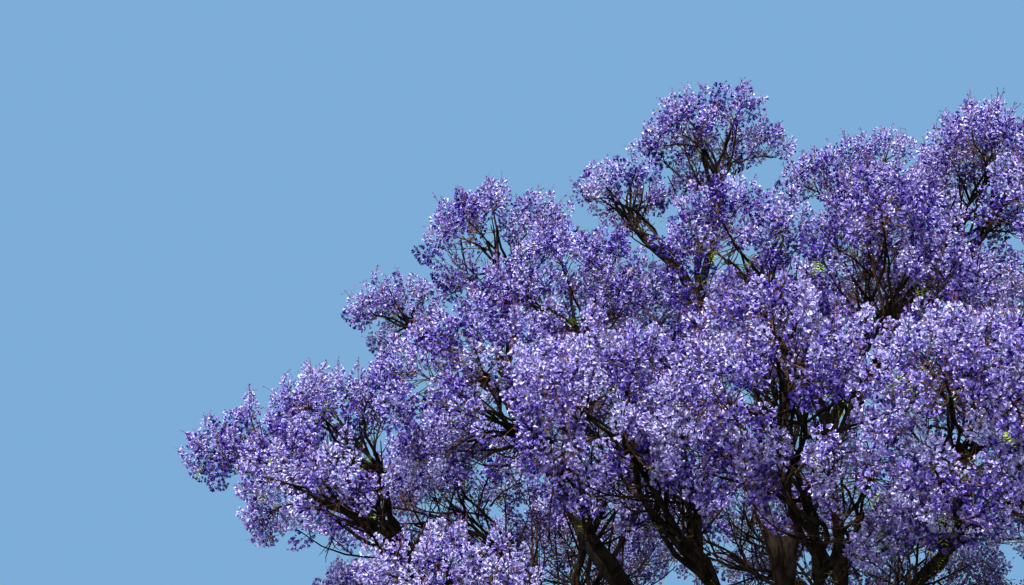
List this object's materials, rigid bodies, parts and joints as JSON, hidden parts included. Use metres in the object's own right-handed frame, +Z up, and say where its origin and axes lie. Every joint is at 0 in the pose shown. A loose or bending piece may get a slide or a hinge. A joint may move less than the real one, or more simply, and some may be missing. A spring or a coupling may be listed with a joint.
{
  "type": "jacaranda tree",
  "caption": "Spreading jacaranda in full bloom: flared trunk forking low into long boughs, with open rounded masses of violet blossom at their ends.",
  "frame": {"origin": "the middle of the flat cut under the trunk, at ground level", "axes": "+Z up along the trunk; -Y towards the side the picture is taken from; -X towards the crown's left side there"},
  "size_m": [14.9094, 14.6309, 11.3443],
  "materials": {
    "bark": "rough, finely cracked bark",
    "blossom": "matt petals"
  },
  "bodies": {
    "root": {"trunk": "bark", "bough_left": "bark", "bough_left_low": "bark", "bough_left_high": "bark", "bough_left_middle": "bark", "bough_front_left": "bark", "bough_front_left_low": "bark", "bough_front": "bark", "bough_front_low": "bark", "bough_top": "bark", "bough_top_right": "bark", "bough_right": "bark", "bough_right_front": "bark", "bough_right_high": "bark", "bough_back_right": "bark", "bough_back_right_high": "bark", "bough_back": "bark", "bough_back_high": "bark", "bough_back_left": "bark", "bough_back_left_low": "bark", "blossom_left_outer": "blossom", "blossom_left_inner": "blossom", "blossom_left_low_outer": "blossom", "blossom_left_low_inner": "blossom", "blossom_left_high_outer": "blossom", "blossom_left_high_inner": "blossom", "blossom_left_middle_outer": "blossom", "blossom_left_middle_inner": "blossom", "blossom_front_left_outer": "blossom", "blossom_front_left_inner": "blossom", "blossom_front_left_low_outer": "blossom", "blossom_front_left_low_inner": "blossom", "blossom_front_outer": "blossom", "blossom_front_inner": "blossom", "blossom_front_low_outer": "blossom", "blossom_front_low_inner": "blossom", "blossom_top_outer": "blossom", "blossom_top_inner": "blossom", "blossom_top_right_outer": "blossom", "blossom_top_right_inner": "blossom", "blossom_right_outer": "blossom", "blossom_right_inner": "blossom", "blossom_right_front_outer": "blossom", "blossom_right_front_inner": "blossom", "blossom_right_high_outer": "blossom", "blossom_right_high_inner": "blossom", "blossom_back_right_outer": "blossom", "blossom_back_right_inner": "blossom", "blossom_back_right_high_outer": "blossom", "blossom_back_right_high_inner": "blossom", "blossom_back_outer": "blossom", "blossom_back_inner": "blossom", "blossom_back_high_outer": "blossom", "blossom_back_high_inner": "blossom", "blossom_back_left_outer": "blossom", "blossom_back_left_inner": "blossom", "blossom_back_left_low_outer": "blossom", "blossom_back_left_low_inner": "blossom"}
  },
  "joints": []
}
